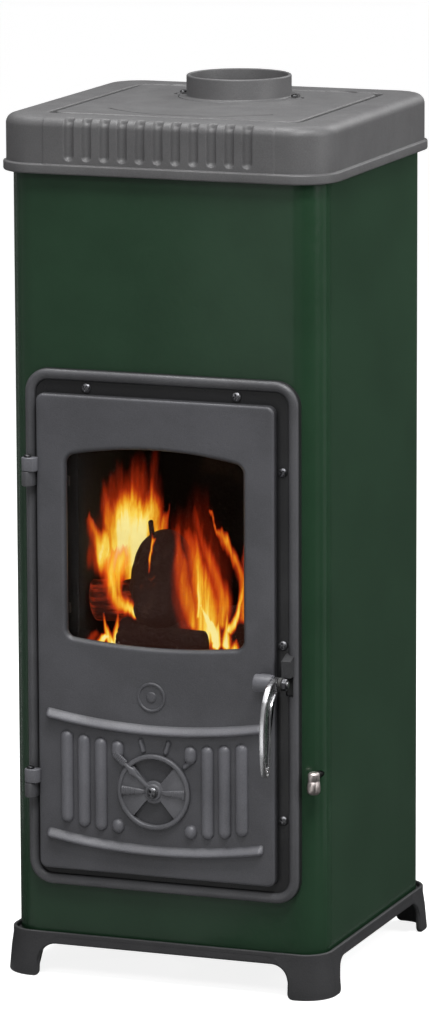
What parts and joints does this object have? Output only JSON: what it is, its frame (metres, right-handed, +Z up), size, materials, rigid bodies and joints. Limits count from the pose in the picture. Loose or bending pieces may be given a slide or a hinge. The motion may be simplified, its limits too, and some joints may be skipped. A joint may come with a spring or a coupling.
{
  "type": "solid fuel stove",
  "caption": "Tall upright workshop stove with an enamelled casing, cast base and top, a windowed cast door with an air rosette and lever latch, and a flue collar on top.",
  "frame": {"origin": "on the floor, under the middle of the stove's box", "axes": "+Z up, the door faces -Y, +X to the right of somebody who looks at the door"},
  "size_m": [0.397, 0.447, 1.0094],
  "materials": {
    "enamel": "gloss",
    "cast_grey": "satin",
    "cast_black": "matt",
    "sheet_black": "matt",
    "firebrick": "matt",
    "glass": "gloss",
    "rope": "matt",
    "chrome": "polished",
    "steel": "satin"
  },
  "bodies": {
    "stove": {"base_frame": "cast_grey", "base_plate": "sheet_black", "casing": "enamel", "rear_panel": "sheet_black", "rear_screw_1": "steel", "rear_screw_2": "steel", "rear_screw_3": "steel", "rear_screw_4": "steel", "top_plate": "cast_grey", "top_cover": "cast_grey", "flue_collar": "cast_grey", "collar_screw_1": "steel", "collar_screw_2": "steel", "door_frame": "cast_black", "frame_screw_1": "sheet_black", "frame_screw_2": "sheet_black", "frame_screw_3": "sheet_black", "frame_screw_4": "sheet_black", "frame_screw_5": "sheet_black", "latch_keeper": "cast_black", "hinge_pin_upper": "steel", "hinge_pin_lower": "steel", "firebox_front": "cast_black", "firebox_left": "cast_black", "firebox_right": "cast_black", "firebox_rear": "cast_black", "lining_left": "firebrick", "lining_right": "firebrick", "lining_rear": "firebrick", "ash_floor": "sheet_black", "grate_frame": "cast_black", "baffle_plate": "cast_black", "fuel_retainer": "cast_black"},
    "door": {"door": "cast_grey", "glass_seal": "rope", "window_glass": "glass", "glass_clip_1": "steel", "glass_clip_2": "steel", "glass_clip_3": "steel", "glass_clip_4": "steel", "clip_screw_1": "steel", "clip_screw_2": "steel", "clip_screw_3": "steel", "clip_screw_4": "steel", "door_seal": "rope", "rosette_screw": "steel", "rosette_nut": "steel"},
    "latch": {"latch_shaft": "steel", "latch_handle": "chrome", "latch_cam": "cast_black", "latch_nut": "steel"},
    "rosette": {"air_rosette": "cast_grey"},
    "grate": {"grate": "cast_black", "riddling_rod": "steel", "riddling_knob": "chrome"},
    "ash_pan": {"ash_pan": "sheet_black", "ash_pan_handle": "steel"}
  },
  "joints": [
    {"name": "door_hinge", "type": "hinge", "parent": "stove", "child": "door", "pos_m": [-0.1535, -0.168, 0.4], "axis": [0, 0, -1], "range_deg": [0, 110]},
    {"name": "latch_turn", "type": "hinge", "parent": "door", "child": "latch", "pos_m": [0.1418, -0.176, 0.366], "axis": [-1, 0, 0], "range_deg": [0, 80]},
    {"name": "rosette_turn", "type": "hinge", "parent": "door", "child": "rosette", "pos_m": [-0.005, -0.166, 0.229], "axis": [0, 1, 0], "range_deg": [0, 97.5]},
    {"name": "grate_slide", "type": "slide", "parent": "stove", "child": "grate", "axis": [0, -1, 0], "range_m": [0, 0.025]},
    {"name": "ash_pan_slide", "type": "slide", "parent": "stove", "child": "ash_pan", "axis": [0, -1, 0], "range_m": [0, 0.1152]}
  ],
  "couplings": [
    {"joint": "ash_pan_slide", "follows": "door_hinge", "m_per_rad": 0.06}
  ]
}
